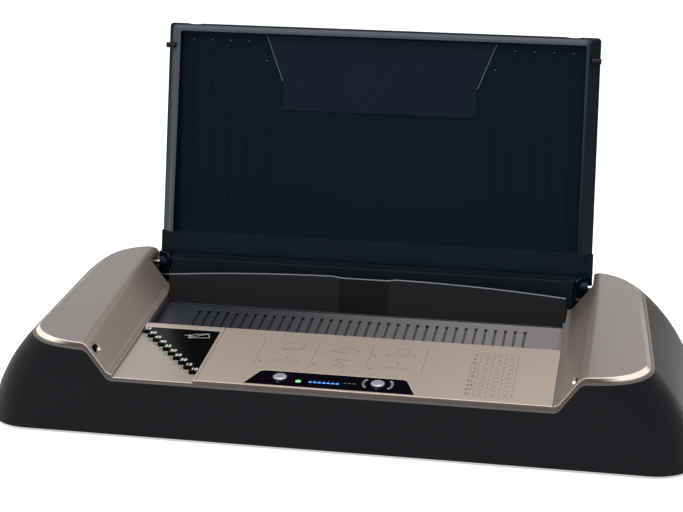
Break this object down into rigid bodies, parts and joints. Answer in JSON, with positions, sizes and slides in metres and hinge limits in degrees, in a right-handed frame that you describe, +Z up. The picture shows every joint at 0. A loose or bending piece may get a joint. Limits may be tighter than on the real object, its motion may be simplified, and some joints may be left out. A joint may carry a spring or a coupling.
{
  "type": "thermal binding machine",
  "caption": "Desk-top thermal binding machine: dark housing with raised wings, sunken deck with gauge and control panel, leaning document slot over a hot plate, and a hinged cover.",
  "frame": {"origin": "on the standing surface, under the middle of the footprint and of the open cover, which stays within it", "axes": "+Z up, -Y is the front with the deck and the control panel, +X to the right as seen from the front"},
  "size_m": [0.524, 0.24, 0.2591],
  "materials": {
    "dark_shell": "satin",
    "rim": "satin",
    "cover_paint": "satin metallic paint",
    "gauge_black": "gloss",
    "panel_black": "gloss",
    "button_silver": "satin",
    "lamp_green": "clear",
    "lamp_blue": "clear",
    "circuit_board": "matte",
    "switch_black": "matte",
    "vent_satin": "satin",
    "guard_black": "satin",
    "channel_black": "matte",
    "heater_aluminium": "satin",
    "insulator_white": "matte",
    "element_steel": "satin",
    "pin_steel": "satin",
    "lid_navy": "gloss",
    "lid_black": "satin",
    "peg_black": "matte",
    "base_black": "matte",
    "foot_rubber": "matte",
    "transformer_core": "matte"
  },
  "bodies": {
    "base": {"base_tub": "dark_shell", "rim_band": "rim", "wing_cover_right": "cover_paint", "wing_cover_left": "cover_paint", "deck_panel": "cover_paint", "gauge_wedge": "gauge_black", "control_panel": "panel_black", "ready_lamp": "lamp_green", "level_lamps": "lamp_blue", "control_board": "circuit_board", "mains_board": "circuit_board", "button_switches": "switch_black", "vent_plate": "vent_satin", "front_guard": "guard_black", "slot_channel": "channel_black", "rear_guide": "channel_black", "rear_cover": "channel_black", "hinge_bracket_right": "channel_black", "hinge_bracket_left": "channel_black", "heating_plate": "heater_aluminium", "thermostat": "heater_aluminium", "heater_insulator": "insulator_white", "heater_element": "element_steel", "hinge_pin_right": "pin_steel", "hinge_pin_left": "pin_steel", "base_screws": "pin_steel", "base_plate": "base_black", "power_inlet": "base_black", "foot_front_left": "foot_rubber", "foot_front_right": "foot_rubber", "foot_rear_left": "foot_rubber", "foot_rear_right": "foot_rubber", "mains_transformer": "transformer_core"},
    "lid": {"lid_tray": "lid_navy", "lid_hinge_bar": "lid_black", "lid_pegs": "peg_black"},
    "power_button": {"power_button": "button_silver"},
    "mode_button": {"mode_button": "button_silver"}
  },
  "joints": [
    {"name": "lid_hinge", "type": "hinge", "parent": "base", "child": "lid", "pos_m": [0, 0.0661, 0.0708], "axis": [1, 0, 0], "range_deg": [0, 105.6]},
    {"name": "power_press", "type": "slide", "parent": "base", "child": "power_button", "axis": [0, 0.0541, -0.9985], "range_m": [0, 0.001], "stiffness_N_per_m": 400, "springref_m": -0.0003},
    {"name": "mode_press", "type": "slide", "parent": "base", "child": "mode_button", "axis": [0, 0.0541, -0.9985], "range_m": [0, 0.001], "stiffness_N_per_m": 400, "springref_m": -0.0003}
  ]
}
